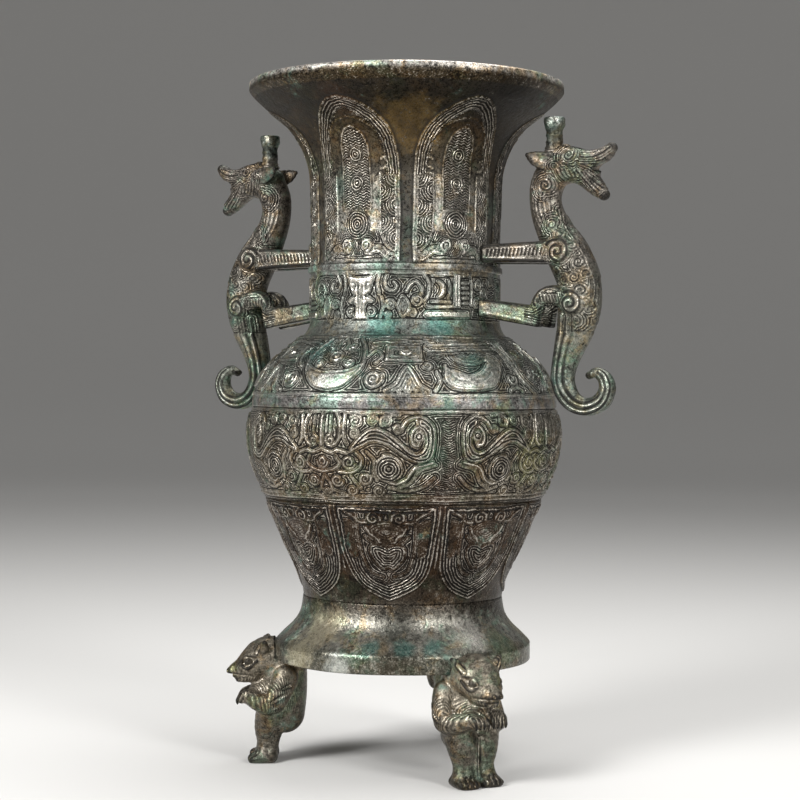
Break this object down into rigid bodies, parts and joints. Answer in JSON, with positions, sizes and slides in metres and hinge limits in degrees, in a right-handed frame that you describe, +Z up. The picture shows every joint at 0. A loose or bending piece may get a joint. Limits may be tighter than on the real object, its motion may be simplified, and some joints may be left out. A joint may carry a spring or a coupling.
{
  "type": "bronze hu vessel",
  "caption": "Flared bronze hu vessel with relief bands, climbing beast handles with curled tails, and squatting bear feet under a spreading foot ring.",
  "frame": {"origin": "on the vessel's axis, level with the soles of the three bear feet", "axes": "+Z up along the vessel's axis; -Y is the front, midway between two bear feet; the handles stand at +X and -X"},
  "size_m": [0.2564, 0.1875, 0.38],
  "materials": {
    "body_bronze": "cast bronze, dark brown and green patina, earth in the recesses, rubbed high spots",
    "inner_bronze": "cast bronze, dull dark patina",
    "handle_bronze": "cast bronze, grey-brown rubbed patina with green in the grooves",
    "foot_bronze": "cast bronze, grey-green patina"
  },
  "bodies": {
    "root": {"mouth_neck": "body_bronze", "collar": "body_bronze", "shoulder": "body_bronze", "belly": "body_bronze", "lower_belly": "body_bronze", "foot_ring": "body_bronze", "floor_plate": "inner_bronze", "handle_beast_right": "handle_bronze", "handle_beast_left": "handle_bronze", "horn_right": "handle_bronze", "horn_left": "handle_bronze", "tail_right": "handle_bronze", "tail_left": "handle_bronze", "bear_foot_front_right": "foot_bronze", "bear_foot_front_left": "foot_bronze", "bear_foot_back": "foot_bronze"}
  },
  "joints": []
}
